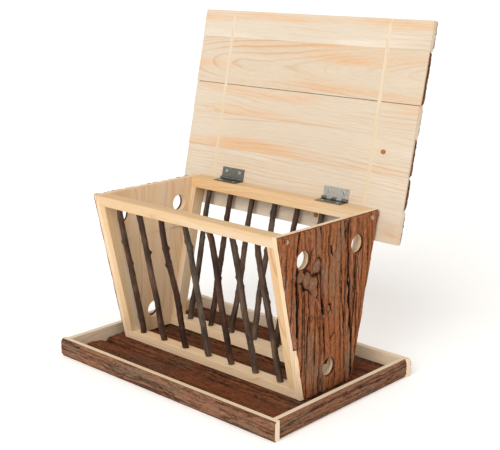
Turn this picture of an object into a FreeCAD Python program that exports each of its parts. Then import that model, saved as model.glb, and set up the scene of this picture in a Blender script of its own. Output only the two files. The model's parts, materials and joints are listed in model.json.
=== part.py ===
# Free-standing V-shaped hay rack on a bark-edged tray, with a hinged plank lid, modelled in the open pose.
# Units are millimetres. The origin is the middle of the tray's underside, +X to the right, +Y to the rear,
# +Z up. Every board, twig, hinge leaf and pin is a solid of its own; fasteners are grouped by kind.
import FreeCAD, Part
import math
import os
import Sketcher

X_AXIS = FreeCAD.Vector(1, 0, 0)
Y_AXIS = FreeCAD.Vector(0, 1, 0)
Z_AXIS = FreeCAD.Vector(0, 0, 1)

SIZES = {
    # tray
    "tray_length": 380, "tray_width": 265, "tray_rail_height": 24.5, "tray_rail_thickness": 10,
    "bark_round": 3, "floor_thickness": 13, "edge_slab_width": 54.5, "slab_gap": 1.2, "slab_round": 2,
    # rack between the two end panels
    "rack_length": 322, "panel_thickness": 11, "rack_top": 220, "base_half_depth": 47.5, "lean": 12.66,
    "front_joint": -15, "rear_joint": 33,
    "window_radius": 11.5, "window_side": 50, "window_upper": 186, "window_lower": 43,
    "key_height": 152, "key_width": 2.5, "key_depth": 3, "key_half_length": 60,
    # leaning frames and their twigs
    "frame_depth": 18, "top_rail_height": 14, "bottom_rail_height": 12, "stile_width": 10,
    "twig_radius": 4.25, "twig_pitch": 40, "socket_radius": 4.35, "socket_depth": 6,
    # lid, measured from the hinge axis while it is closed
    "lid_length": 380, "lid_thickness": 10.5, "lid_reach": 229.9, "lid_round": 1.2, "lid_shift": 2,
    "plank_one": 36.6, "plank_two": 64.5, "plank_three": 40.9,
    "plank_four": 47.1, "plank_five": 39, "plank_six": 42.4,
    "spline_side": 131, "spline_width": 5.5, "spline_depth": 3,
    # butt hinges
    "hinge_side": 90, "hinge_width": 40, "hinge_setback": 1, "hinge_seat": 2.3, "leaf_thickness": 1,
    "leaf_length": 15, "barrel_radius": 2, "bore_radius": 1.05, "knuckle_gap": 0.3,
    "hinge_pin_radius": 1, "pin_head_radius": 1.6, "pin_head_length": 0.6,
    "hinge_screw_row": 9, "hinge_screw_side": 12,
    # fasteners
    "small_head_radius": 2.4, "small_head_depth": 1, "small_shank_radius": 1.2, "small_length": 7,
    "small_tip": 2, "wood_head_radius": 3.2, "wood_head_depth": 2, "wood_shank_radius": 1.7,
    "wood_tip": 4, "panel_screw_length": 30, "base_screw_length": 21, "panel_screw_side": 80,
    "panel_screw_height": 213, "base_screw_along": 100, "base_screw_side": 40, "hole_play": 0.1,
    "nail_head_radius": 1.8, "nail_head_depth": 0.6, "nail_shank_radius": 0.9, "nail_length": 22,
    "nail_tip": 1.5, "nail_low": 7.5, "nail_high": 17,
}
TWIGS_PER_FRAME = 7
KNUCKLES = 5
LID_PLANKS = ("plank_one", "plank_two", "plank_three", "plank_four", "plank_five", "plank_six")
HINGED_PLANK = 5

doc = FreeCAD.newDocument("hay_rack")
sheet = doc.addObject("Spreadsheet::Sheet", "Sizes")
for row, (alias, number) in enumerate(SIZES.items(), start=1):
    sheet.set("A%d" % row, str(number))
    sheet.setAlias("A%d" % row, alias)
doc.recompute()

parts = []


def size(alias):
    """Name of a sheet cell inside a formula; an unknown alias stops the macro here."""
    if alias not in SIZES:
        raise KeyError(alias)
    return "Sizes." + alias


# Formulas that several pieces share.
LEAN = size("lean")
FLOOR = size("floor_thickness")
RACK_TOP = size("rack_top")
TRAY_HALF_WIDTH = size("tray_width") + " / 2"
PANEL_INNER = "(%s / 2 - %s)" % (size("rack_length"), size("panel_thickness"))
LOWER_RAIL_TOP = "(%s + %s)" % (FLOOR, size("bottom_rail_height"))
UPPER_RAIL_UNDERSIDE = "(%s - %s)" % (RACK_TOP, size("top_rail_height"))
OPEN_ANGLE = "-(90 + %s)" % LEAN


def outer_depth(height):
    """Distance of the leaning outer face from the middle plane at a height."""
    return "(%s + (%s - %s) * tan(%s))" % (size("base_half_depth"), height, FLOOR, LEAN)


def inner_depth(height):
    return "(%s - %s)" % (outer_depth(height), size("frame_depth"))


def middle_depth(height):
    return "(%s - %s / 2)" % (outer_depth(height), size("frame_depth"))


HINGE_Y = "(%s - %s)" % (outer_depth(RACK_TOP), size("hinge_setback"))
HINGE_Z = "(%s + %s)" % (RACK_TOP, size("hinge_seat"))


def lid_point(along, across, up):
    """World place of a point given in the closed lid's frame, whose origin is the hinge axis."""
    world_y = "%s - (%s) * sin(%s) + (%s) * cos(%s)" % (HINGE_Y, across, LEAN, up, LEAN)
    world_z = "%s - (%s) * cos(%s) - (%s) * sin(%s)" % (HINGE_Z, across, LEAN, up, LEAN)
    return (along, world_y, world_z)


def place(item, base, axis=Z_AXIS, angle="0"):
    """Bind an object's place and its turn about one axis to formulas."""
    item.Placement = FreeCAD.Placement(FreeCAD.Vector(), FreeCAD.Rotation(axis, 45))
    for letter, formula in zip("xyz", base):
        item.setExpression(".Placement.Base." + letter, formula)
    item.setExpression(".Placement.Rotation.Angle", angle)


def new_body(label):
    body = doc.addObject("PartDesign::Body", label)
    body.Label = label
    parts.append(body)
    return body


def pin_point(sketch, geometry, vertex, across, up):
    """Hold one sketch point at two formulas from the sketch origin."""
    for kind, formula in (("DistanceX", across), ("DistanceY", up)):
        number = sketch.addConstraint(Sketcher.Constraint(kind, -1, 1, geometry, vertex, 1.0))
        sketch.setExpression("Constraints[%d]" % number, formula)


def new_sketch(body, plane_role):
    sketch = body.newObject("Sketcher::SketchObject", body.Name + "_sketch")
    planes = [item for item in body.Origin.OriginFeatures if item.Role == plane_role]
    sketch.AttachmentSupport = (planes[0], [""])
    sketch.MapMode = "FlatFace"
    return sketch


def draw_polygon(sketch, corners):
    count = len(corners)
    first = sketch.GeometryCount
    for index in range(count):
        turn = 2 * math.pi * index / count
        turn_on = 2 * math.pi * (index + 1) / count
        start = FreeCAD.Vector(math.cos(turn), math.sin(turn), 0)
        end = FreeCAD.Vector(math.cos(turn_on), math.sin(turn_on), 0)
        sketch.addGeometry(Part.LineSegment(start, end), False)
    for index in range(count):
        follower = first + (index + 1) % count
        sketch.addConstraint(Sketcher.Constraint("Coincident", first + index, 2, follower, 1))
    for index, (across, up) in enumerate(corners):
        pin_point(sketch, first + index, 1, across, up)


def draw_circle(sketch, across, up, radius):
    circle = sketch.addGeometry(Part.Circle(FreeCAD.Vector(), Z_AXIS, 1.0), False)
    number = sketch.addConstraint(Sketcher.Constraint("Radius", circle, 1.0))
    sketch.setExpression("Constraints[%d]" % number, radius)
    pin_point(sketch, circle, 3, across, up)


def pad(body, sketch, length, symmetric=True):
    feature = body.newObject("PartDesign::Pad", body.Name + "_pad")
    feature.Profile = sketch
    feature.SideType = "Symmetric" if symmetric else "One side"
    feature.setExpression("Length", length)
    body.Tip = feature


def cut_through(body, sketch):
    feature = body.newObject("PartDesign::Pocket", body.Name + "_cut")
    feature.Profile = sketch
    feature.Type = "ThroughAll"
    feature.SideType = "Symmetric"
    body.Tip = feature


def bore(body, radius, depth, base, axis=Z_AXIS, angle="0"):
    """Cylindrical hole that starts at base and runs along the turned Z axis."""
    feature = body.newObject("PartDesign::SubtractiveCylinder", body.Name + "_bore")
    feature.setExpression("Radius", radius)
    feature.setExpression("Height", depth)
    place(feature, base, axis, angle)
    body.Tip = feature


def countersink(body, base, axis, angle, head_radius, shank_radius, head_depth):
    feature = body.newObject("PartDesign::SubtractiveCone", body.Name + "_countersink")
    feature.setExpression("Radius1", head_radius)
    feature.setExpression("Radius2", shank_radius)
    feature.setExpression("Height", head_depth)
    place(feature, base, axis, angle)
    body.Tip = feature


def trench(body, sizes, base):
    """Rectangular groove given by its three sizes and its lowest corner."""
    feature = body.newObject("PartDesign::SubtractiveBox", body.Name + "_trench")
    for name, formula in zip(("Length", "Width", "Height"), sizes):
        feature.setExpression(name, formula)
    for letter, formula in zip("xyz", base):
        feature.setExpression(".Placement.Base." + letter, formula)
    body.Tip = feature


def round_long_edges(body, chosen, radius):
    """Fillet the edges along X whose middle passes the given test."""
    doc.recompute()
    base = body.Tip
    names = []
    for number, edge in enumerate(base.Shape.Edges, start=1):
        box = edge.BoundBox
        if box.XLength > 100 and chosen(box.Center.y, box.Center.z):
            names.append("Edge%d" % number)
    feature = body.newObject("PartDesign::Fillet", body.Name + "_round")
    feature.Base = (base, names)
    feature.setExpression("Radius", radius)
    body.Tip = feature


def fused(name, pieces):
    whole = doc.addObject("Part::MultiFuse", name)
    whole.Shapes = pieces
    return whole


def cone(name, radius_near, radius_far, depth, start="0"):
    item = doc.addObject("Part::Cone", name)
    item.setExpression("Radius1", radius_near)
    item.setExpression("Radius2", radius_far)
    item.setExpression("Height", depth)
    item.setExpression(".Placement.Base.z", start)
    return item


def cylinder(name, radius, depth, start="0"):
    item = doc.addObject("Part::Cylinder", name)
    item.setExpression("Radius", radius)
    item.setExpression("Height", depth)
    item.setExpression(".Placement.Base.z", start)
    return item


def screw(name, kind, length, base, axis, angle):
    """Countersunk screw whose head is flush at base and whose tip points along the turned Z axis."""
    head_depth = size(kind + "_head_depth")
    shank = size(kind + "_shank_radius")
    tip = size(kind + "_tip")
    head = cone(name + "_head", size(kind + "_head_radius"), shank, head_depth)
    rod = cylinder(name + "_rod", shank, "%s - %s - %s" % (length, head_depth, tip), head_depth)
    point = cone(name + "_point", shank, shank + " / 8", tip, "%s - %s" % (length, tip))
    whole = fused(name, [head, rod, point])
    place(whole, base, axis, angle)
    return whole


def nail(name, base, axis, angle):
    head = cylinder(name + "_head", size("nail_head_radius"), size("nail_head_depth"))
    length = size("nail_length")
    tip = size("nail_tip")
    shank = size("nail_shank_radius")
    rod = cylinder(name + "_rod", shank, "%s - %s" % (length, tip))
    point = cone(name + "_point", shank, shank + " / 8", tip, "%s - %s" % (length, tip))
    whole = fused(name, [head, rod, point])
    place(whole, base, axis, angle)
    return whole


def group(label, pieces):
    whole = doc.addObject("Part::Compound", label)
    whole.Label = label
    whole.Links = pieces
    parts.append(whole)


def sign_of(side):
    return "%d * " % side


# Tray: four half-round rails with bark outside, and five bark-topped floor slabs.
NAIL_HEIGHTS = (size("nail_low"), size("nail_high"))
CORNER_ALONG = "(%s - %s) / 2" % (size("tray_length"), size("tray_rail_thickness"))
NAIL_BORE = "%s + %s" % (size("nail_shank_radius"), size("hole_play"))


def tray_rail(label, length):
    """Rail along X with its bark face at y = 0 and its sawn inner face towards +Y."""
    body = new_body(label)
    thickness = size("tray_rail_thickness")
    height = size("tray_rail_height")
    sketch = new_sketch(body, "YZ_Plane")
    draw_polygon(sketch, (("0", "0"), (thickness, "0"), (thickness, height), ("0", height)))
    pad(body, sketch, length)
    round_long_edges(body, lambda across, up: across < 1, size("bark_round"))
    return body


def long_tray_rail(label, side, angle):
    body = tray_rail(label, size("tray_length"))
    for end in (-1, 1):
        for height in NAIL_HEIGHTS:
            along = sign_of(end) + CORNER_ALONG
            bore(body, size("nail_head_radius"), size("nail_head_depth"), (along, "0", height), X_AXIS, "-90")
            bore(body, NAIL_BORE, size("tray_rail_thickness"), (along, "0", height), X_AXIS, "-90")
    place(body, ("0", sign_of(side) + TRAY_HALF_WIDTH, "0"), Z_AXIS, angle)


def short_tray_rail(label, side, angle):
    thickness = size("tray_rail_thickness")
    body = tray_rail(label, "%s - 2 * %s" % (size("tray_width"), thickness))
    reach = "%s - %s" % (size("nail_length"), thickness)
    for end in (-1, 1):
        for height in NAIL_HEIGHTS:
            along = "%d * (%s - %s)" % (end, TRAY_HALF_WIDTH, thickness)
            bore(body, NAIL_BORE, reach, (along, thickness + " / 2", height), Y_AXIS, "%d" % (-90 * end))
    place(body, ("%d * %s / 2" % (side, size("tray_length")), "0", "0"), Z_AXIS, angle)


def floor_slab(label, near, width, screwed=0):
    """Slab along X, flat below and rounded at its two bark edges; near is its front edge."""
    body = new_body(label)
    sketch = new_sketch(body, "YZ_Plane")
    corners = (("0", "0"), (width, "0"), (width, FLOOR), ("0", FLOOR))
    draw_polygon(sketch, corners)
    pad(body, sketch, "%s - 2 * %s" % (size("tray_length"), size("tray_rail_thickness")))
    round_long_edges(body, lambda across, up: up > 1, size("slab_round"))
    for end in (-1, 1) if screwed else ():
        across = "%s%s - (%s)" % (sign_of(screwed), size("base_screw_side"), near)
        base = (sign_of(end) + size("base_screw_along"), across, "0")
        countersink(body, base, Z_AXIS, "0", size("wood_head_radius"), size("wood_shank_radius"),
                    size("wood_head_depth"))
        bore(body, "%s + %s" % (size("wood_shank_radius"), size("hole_play")), FLOOR, base)
    place(body, ("0", near, "0"))


def build_tray():
    long_tray_rail("tray_front_rail", -1, "0")
    long_tray_rail("tray_rear_rail", 1, "180")
    short_tray_rail("tray_left_rail", -1, "-90")
    short_tray_rail("tray_right_rail", 1, "90")
    edge = size("edge_slab_width")
    gap = size("slab_gap")
    front = "-(%s) + %s" % (TRAY_HALF_WIDTH, size("tray_rail_thickness"))
    inner_width = "(-2 * (%s) - 2 * %s - 4 * %s) / 3" % (front, edge, gap)
    near = front
    for number in range(1, 6):
        width = edge if number in (1, 5) else inner_width
        screwed = {2: -1, 4: 1}.get(number, 0)
        floor_slab("floor_slab_%d" % number, near, width, screwed)
        near = "%s + %s + %s" % (near, width, gap)


# End panels: three upright planks each, with two upper windows and one lower window, and a key across.
def end_plank(label, side, corners, window):
    """Plank of one panel; across values are true Y, and the left panel is the right one turned round."""
    body = new_body(label)
    sketch = new_sketch(body, "YZ_Plane")
    draw_polygon(sketch, [("%d * (%s)" % (side, across), up) for across, up in corners])
    draw_circle(sketch, "%d * (%s)" % (side, window[0]), window[1], size("window_radius"))
    pad(body, sketch, size("panel_thickness"), symmetric=False)
    half = size("key_half_length")
    trench(body, (size("key_depth"), "2 * " + half, size("key_width")),
           ("0", "-" + half, "%s - %s / 2" % (size("key_height"), size("key_width"))))
    place(body, ("%d * %s" % (side, PANEL_INNER), "0", "0"), Z_AXIS, "0" if side > 0 else "180")
    return body


def drill_for_top_rail(body, side, face):
    """Countersunk hole through a panel into the end of a top rail; face is -1 in front and 1 behind."""
    base = (size("panel_thickness"), "%d * %s" % (side * face, size("panel_screw_side")),
            size("panel_screw_height"))
    countersink(body, base, Y_AXIS, "-90", size("wood_head_radius"), size("wood_shank_radius"),
                size("wood_head_depth"))
    bore(body, "%s + %s" % (size("wood_shank_radius"), size("hole_play")), size("panel_thickness"),
         base, Y_AXIS, "-90")


def end_panel(name, side):
    top = outer_depth(RACK_TOP)
    foot = size("base_half_depth")
    front = size("front_joint")
    rear = size("rear_joint")
    window_side = size("window_side")
    upper = size("window_upper")
    corners = (("-" + foot, FLOOR), (front, FLOOR), (front, RACK_TOP), ("-" + top, RACK_TOP))
    plank = end_plank(name + "_end_plank_front", side, corners, ("-" + window_side, upper))
    drill_for_top_rail(plank, side, -1)
    corners = ((front, FLOOR), (rear, FLOOR), (rear, RACK_TOP), (front, RACK_TOP))
    end_plank(name + "_end_plank_middle", side, corners, ("0", size("window_lower")))
    corners = ((rear, FLOOR), (foot, FLOOR), (top, RACK_TOP), (rear, RACK_TOP))
    plank = end_plank(name + "_end_plank_rear", side, corners, (window_side, upper))
    drill_for_top_rail(plank, side, 1)
    key = doc.addObject("Part::Box", name + "_panel_key")
    key.Label = name + "_panel_key"
    half = size("key_half_length")
    key.setExpression("Length", size("key_depth"))
    key.setExpression("Width", "2 * " + half)
    key.setExpression("Height", size("key_width"))
    near = PANEL_INNER if side > 0 else "-%s - %s" % (PANEL_INNER, size("key_depth"))
    base = (near, "-" + half, "%s - %s / 2" % (size("key_height"), size("key_width")))
    for letter, formula in zip("xyz", base):
        key.setExpression(".Placement.Base." + letter, formula)
    parts.append(key)


# Leaning frames: the rear one is drawn in place, the front one is the same turned half a turn about Z.
TWIG_FOOT = "(%s - %s)" % (LOWER_RAIL_TOP, size("socket_depth"))
TWIG_HEAD = "(%s + %s)" % (UPPER_RAIL_UNDERSIDE, size("socket_depth"))
TWIG_LENGTH = "(%s - %s) / cos(%s)" % (TWIG_HEAD, TWIG_FOOT, LEAN)


def twig_along(number):
    return "%d * %s" % (number - (TWIGS_PER_FRAME + 1) / 2, size("twig_pitch"))


def leaning_section(low, high):
    return ((outer_depth(low), low), (outer_depth(high), high), (inner_depth(high), high),
            (inner_depth(low), low))


def frame_turn(side):
    return "0" if side > 0 else "180"


def frame_rail(label, side, low, high):
    body = new_body(label)
    sketch = new_sketch(body, "YZ_Plane")
    draw_polygon(sketch, leaning_section(low, high))
    pad(body, sketch, "2 * " + PANEL_INNER)
    for number in range(1, TWIGS_PER_FRAME + 1):
        base = (twig_along(number), middle_depth(TWIG_FOOT), TWIG_FOOT)
        bore(body, size("socket_radius"), TWIG_LENGTH, base, X_AXIS, "-" + LEAN)
    place(body, ("0", "0", "0"), Z_AXIS, frame_turn(side))
    return body


def stile(label, side, end):
    body = new_body(label)
    sketch = new_sketch(body, "YZ_Plane")
    draw_polygon(sketch, leaning_section(LOWER_RAIL_TOP, UPPER_RAIL_UNDERSIDE))
    pad(body, sketch, size("stile_width"))
    middle = "%d * (%s - %s / 2)" % (end, PANEL_INNER, size("stile_width"))
    place(body, (middle, "0", "0"), Z_AXIS, frame_turn(side))


def twig(label, side, number):
    item = doc.addObject("Part::Cylinder", label)
    item.Label = label
    item.setExpression("Radius", size("twig_radius"))
    item.setExpression("Height", TWIG_LENGTH)
    base = (twig_along(number), sign_of(side) + middle_depth(TWIG_FOOT), TWIG_FOOT)
    place(item, base, X_AXIS, "%d * %s" % (-side, LEAN))
    parts.append(item)


def leaning_frame(name, side):
    top = frame_rail(name + "_top_rail", side, UPPER_RAIL_UNDERSIDE, RACK_TOP)
    screw_bore = "%s + %s" % (size("wood_shank_radius"), size("hole_play"))
    reach = "%s - %s" % (size("panel_screw_length"), size("panel_thickness"))
    for end in (-1, 1):
        base = ("%d * %s" % (end, PANEL_INNER), size("panel_screw_side"), size("panel_screw_height"))
        bore(top, screw_bore, reach, base, Y_AXIS, "%d" % (-90 * end))
    bottom = frame_rail(name + "_bottom_rail", side, FLOOR, LOWER_RAIL_TOP)
    for end in (-1, 1):
        base = ("%d * %s" % (end, size("base_screw_along")), size("base_screw_side"), FLOOR)
        bore(bottom, screw_bore, "%s - %s" % (size("base_screw_length"), FLOOR), base)
    if side > 0:
        for along in hinge_screw_places():
            base = (along, "%s - %s" % (HINGE_Y, size("hinge_screw_row")), RACK_TOP)
            bore(top, SMALL_BORE, SMALL_REACH, base, X_AXIS, "180")
    stile(name + "_left_stile", side, -1)
    stile(name + "_right_stile", side, 1)
    for number in range(1, TWIGS_PER_FRAME + 1):
        twig("%s_twig_%d" % (name, number), side, number)


# Hinges: two leaves with interlocking knuckles and a headed pin each, and the screws that hold them.
SMALL_BORE = "%s + %s" % (size("small_shank_radius"), size("hole_play"))
SMALL_REACH = "%s - %s" % (size("small_length"), size("leaf_thickness"))


def hinge_screw_places():
    places = []
    for end in (-1, 1):
        for way in (-1, 1):
            places.append("%d * %s + %d * %s" % (end, size("hinge_side"), way, size("hinge_screw_side")))
    return places


def hinge_leaf(label, face, own_knuckles):
    """Leaf with its axis on X; face is -1 for the rail's leaf, below the axis, and 1 for the lid's."""
    body = new_body(label)
    seat = "%d * %s" % (face, size("hinge_seat"))
    inside = "%d * (%s - %s)" % (face, size("hinge_seat"), size("leaf_thickness"))
    sketch = new_sketch(body, "YZ_Plane")
    free_end = "-" + size("leaf_length")
    draw_polygon(sketch, ((free_end, seat), ("0", seat), ("0", inside), (free_end, inside)))
    pad(body, sketch, size("hinge_width"))
    sketch = new_sketch(body, "YZ_Plane")
    draw_circle(sketch, "0", "0", size("barrel_radius"))
    pad(body, sketch, size("hinge_width"))
    sketch = new_sketch(body, "YZ_Plane")
    draw_circle(sketch, "0", "0", size("bore_radius"))
    cut_through(body, sketch)
    sketch = new_sketch(body, "XY_Plane")
    pitch = size("hinge_width") + " / %d" % KNUCKLES
    play = size("knuckle_gap")
    reach = size("hinge_seat")
    for knuckle in range(KNUCKLES):
        if knuckle in own_knuckles:
            continue
        low = "(%d * %s) - %s / 2" % (knuckle, pitch, size("hinge_width"))
        high = "(%d * %s) - %s / 2" % (knuckle + 1, pitch, size("hinge_width"))
        low = low if knuckle == 0 else "%s - %s / 2" % (low, play)
        high = high if knuckle == KNUCKLES - 1 else "%s + %s / 2" % (high, play)
        draw_polygon(sketch, ((low, "-" + reach), (high, "-" + reach), (high, reach), (low, reach)))
    cut_through(body, sketch)
    for way in (-1, 1):
        base = ("%d * %s" % (way, size("hinge_screw_side")), "-" + size("hinge_screw_row"), inside)
        countersink(body, base, X_AXIS, "0" if face > 0 else "180", size("small_head_radius"),
                    size("small_shank_radius"), size("small_head_depth"))
    return body


def hinge(name, end):
    middle = "%d * %s" % (end, size("hinge_side"))
    rail_leaf = hinge_leaf(name + "_hinge_rail_leaf", -1, (0, 2, 4))
    place(rail_leaf, (middle, HINGE_Y, HINGE_Z))
    lid_leaf = hinge_leaf(name + "_hinge_lid_leaf", 1, (1, 3))
    place(lid_leaf, (middle, HINGE_Y, HINGE_Z), X_AXIS, OPEN_ANGLE)
    head = size("pin_head_length")
    width = size("hinge_width")
    rod = cylinder(name + "_pin_rod", size("hinge_pin_radius"), width)
    near = cylinder(name + "_pin_near_head", size("pin_head_radius"), head, "-" + head)
    far = cylinder(name + "_pin_far_head", size("pin_head_radius"), head, width)
    pin = fused(name + "_hinge_pin", [rod, near, far])
    pin.Label = name + "_hinge_pin"
    place(pin, ("%s - %s / 2" % (middle, width), HINGE_Y, HINGE_Z), Y_AXIS, "90")
    parts.append(pin)


# Lid: six planks side by side with two inlaid splines, all drawn closed and then turned open.
def lid_plank(number, near, width):
    body = new_body("lid_plank_%d" % number)
    underside = size("hinge_seat")
    topside = "%s + %s" % (underside, size("lid_thickness"))
    sketch = new_sketch(body, "YZ_Plane")
    far = "%s + %s" % (near, width)
    draw_polygon(sketch, ((near, underside), (far, underside), (far, topside), (near, topside)))
    pad(body, sketch, size("lid_length"))
    round_long_edges(body, lambda across, up: up > 5, size("lid_round"))
    for end in (-1, 1):
        corner = "%d * %s - %s / 2" % (end, size("spline_side"), size("spline_width"))
        trench(body, (size("spline_width"), width, size("spline_depth")), (corner, near, underside))
    if number == HINGED_PLANK:
        for along in hinge_screw_places():
            on_lid = "%s - %s" % (along, size("lid_shift"))
            bore(body, SMALL_BORE, SMALL_REACH, (on_lid, "-" + size("hinge_screw_row"), underside))
    place(body, (size("lid_shift"), HINGE_Y, HINGE_Z), X_AXIS, OPEN_ANGLE)


def build_lid():
    near = "-" + size("lid_reach")
    for number, alias in enumerate(LID_PLANKS, start=1):
        lid_plank(number, near, size(alias))
        near = "%s + %s" % (near, size(alias))
    whole_width = " + ".join(size(alias) for alias in LID_PLANKS)
    for name, end in (("left", -1), ("right", 1)):
        spline = doc.addObject("Part::Box", "lid_spline_" + name)
        spline.Label = "lid_spline_" + name
        spline.setExpression("Length", size("spline_width"))
        spline.setExpression("Width", whole_width)
        spline.setExpression("Height", size("spline_depth"))
        corner = "%s + %d * %s - %s / 2" % (size("lid_shift"), end, size("spline_side"), size("spline_width"))
        place(spline, lid_point(corner, "-" + size("lid_reach"), size("hinge_seat")), X_AXIS, OPEN_ANGLE)
        parts.append(spline)


def build_fasteners():
    lid_screws = []
    rail_screws = []
    head_level = "(%s - %s)" % (size("hinge_seat"), size("leaf_thickness"))
    for number, along in enumerate(hinge_screw_places(), start=1):
        base = lid_point(along, "-" + size("hinge_screw_row"), head_level)
        lid_screws.append(screw("lid_screw_%d" % number, "small", size("small_length"), base, X_AXIS,
                                OPEN_ANGLE))
        base = (along, "%s - %s" % (HINGE_Y, size("hinge_screw_row")), "%s - %s" % (HINGE_Z, head_level))
        rail_screws.append(screw("rail_screw_%d" % number, "small", size("small_length"), base, X_AXIS,
                                 "180"))
    group("hinge_screws_lid", lid_screws)
    group("hinge_screws_rail", rail_screws)
    panel_screws = []
    base_screws = []
    nails = []
    for end in (-1, 1):
        for side in (-1, 1):
            tag = "%s_%s" % ("left" if end < 0 else "right", "front" if side < 0 else "rear")
            base = ("%d * %s / 2" % (end, size("rack_length")), "%d * %s" % (side, size("panel_screw_side")),
                    size("panel_screw_height"))
            panel_screws.append(screw("panel_screw_" + tag, "wood", size("panel_screw_length"), base,
                                      Y_AXIS, "%d" % (-90 * end)))
            base = ("%d * %s" % (end, size("base_screw_along")), "%d * %s" % (side, size("base_screw_side")),
                    "0")
            base_screws.append(screw("base_screw_" + tag, "wood", size("base_screw_length"), base,
                                     Z_AXIS, "0"))
            for level, height in enumerate(NAIL_HEIGHTS, start=1):
                base = ("%d * %s" % (end, CORNER_ALONG), "%d * %s" % (side, TRAY_HALF_WIDTH), height)
                nails.append(nail("nail_%s_%d" % (tag, level), base, X_AXIS, "%d" % (90 * side)))
    group("panel_screws", panel_screws)
    group("base_screws", base_screws)
    group("tray_nails", nails)


def check_document():
    """Stop if an object failed, a sub-part is empty or invalid, or a cut removed nothing."""
    for item in doc.Objects:
        if "Invalid" in item.State or "Error" in item.State:
            raise RuntimeError("%s failed: %s" % (item.Label, item.State))
        cuts = "Pocket" in item.TypeId or "Subtractive" in item.TypeId
        if cuts and item.Shape.Volume > item.BaseFeature.Shape.Volume - 1e-3:
            raise RuntimeError("%s cuts nothing" % item.Label)
    for item in parts:
        if item.Shape.isNull() or not item.Shape.isValid():
            raise RuntimeError("%s has no valid shape" % item.Label)


build_tray()
end_panel("left", -1)
end_panel("right", 1)
leaning_frame("front", -1)
leaning_frame("rear", 1)
hinge("left", -1)
hinge("right", 1)
build_lid()
build_fasteners()
doc.recompute()
doc.recompute()
check_document()
os.makedirs("parts", exist_ok=True)
for item in parts:
    item.Shape.exportStep("parts/%s.step" % item.Label)
    print("%-28s %d solid(s) %10.1f mm3" % (item.Label, len(item.Shape.Solids), item.Shape.Volume))
print(len(parts), "nodes")
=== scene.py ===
"""Looks of a small-animal hay rack: bark-faced boards, planed pine, crooked twigs and zinc hinges."""
import json
import math

import bmesh
import bpy
import numpy as np
from mathutils import Matrix, Vector


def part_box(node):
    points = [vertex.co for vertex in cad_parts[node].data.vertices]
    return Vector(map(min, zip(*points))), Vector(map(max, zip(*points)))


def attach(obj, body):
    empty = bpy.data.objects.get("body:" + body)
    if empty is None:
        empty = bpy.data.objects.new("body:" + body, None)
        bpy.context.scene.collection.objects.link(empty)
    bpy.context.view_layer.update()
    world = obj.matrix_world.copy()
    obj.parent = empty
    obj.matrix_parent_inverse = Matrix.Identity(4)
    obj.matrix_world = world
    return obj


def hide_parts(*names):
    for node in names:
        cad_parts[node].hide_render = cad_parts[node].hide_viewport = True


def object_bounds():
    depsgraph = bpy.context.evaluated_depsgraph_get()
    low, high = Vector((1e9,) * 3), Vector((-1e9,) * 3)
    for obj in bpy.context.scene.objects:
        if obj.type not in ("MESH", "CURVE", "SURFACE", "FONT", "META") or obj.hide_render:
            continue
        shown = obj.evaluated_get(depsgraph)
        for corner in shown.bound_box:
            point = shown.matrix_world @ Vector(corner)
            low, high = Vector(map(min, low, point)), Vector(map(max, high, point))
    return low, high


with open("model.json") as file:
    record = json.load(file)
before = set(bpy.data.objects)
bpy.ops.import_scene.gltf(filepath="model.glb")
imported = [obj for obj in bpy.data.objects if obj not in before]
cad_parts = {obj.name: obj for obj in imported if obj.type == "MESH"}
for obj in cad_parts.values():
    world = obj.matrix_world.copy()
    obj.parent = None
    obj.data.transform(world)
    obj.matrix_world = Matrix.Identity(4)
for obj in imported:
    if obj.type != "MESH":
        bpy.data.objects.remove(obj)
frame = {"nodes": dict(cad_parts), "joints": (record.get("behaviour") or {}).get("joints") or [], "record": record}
cad_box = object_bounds()

MM = 0.001
RIGHT = Vector((1, 0, 0))
REAR = Vector((0, 1, 0))
UP = Vector((0, 0, 1))
scene = bpy.context.scene


# ---- places read from the frame

# Angle of the leaning frames, from the front faces of the front frame's rails.
low_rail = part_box("front_bottom_rail")
high_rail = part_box("front_top_rail")
LEAN = math.atan((low_rail[0].y - high_rail[0].y) / (high_rail[1].z - low_rail[1].z))
UP_LID = Vector((0, math.sin(LEAN), math.cos(LEAN)))
LID_BACK = Vector((0, math.cos(LEAN), -math.sin(LEAN)))


def turned(grain, outward):
    """Rotation whose X is the grain and whose Z points out of the bark face."""
    across = outward.cross(grain)
    return Matrix((grain, across, outward)).transposed()


def local_points(node, rotation):
    """A CAD node's vertices in a turned frame, in metres."""
    points = np.array([vertex.co for vertex in frame["nodes"][node].data.vertices])
    return points @ np.array(rotation)


def solids(node):
    """Boxes of the separate solids in one CAD node, each as (lowest corner, highest corner)."""
    mesh = bmesh.new()
    mesh.from_mesh(frame["nodes"][node].data)
    bmesh.ops.remove_doubles(mesh, verts=mesh.verts, dist=0.01 * MM)
    waiting = set(mesh.verts)
    found = []
    while waiting:
        edge = [waiting.pop()]
        points = []
        while edge:
            vertex = edge.pop()
            points.append(vertex.co.copy())
            for link in vertex.link_edges:
                other = link.other_vert(vertex)
                if other in waiting:
                    waiting.discard(other)
                    edge.append(other)
        points = np.array(points)
        found.append((Vector(points.min(0)), Vector(points.max(0))))
    mesh.free()
    return sorted(found, key=lambda box: tuple(box[0]))


# ---- noise and relief

TABLES = {}
TABLE_SIZE = 256


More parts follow.
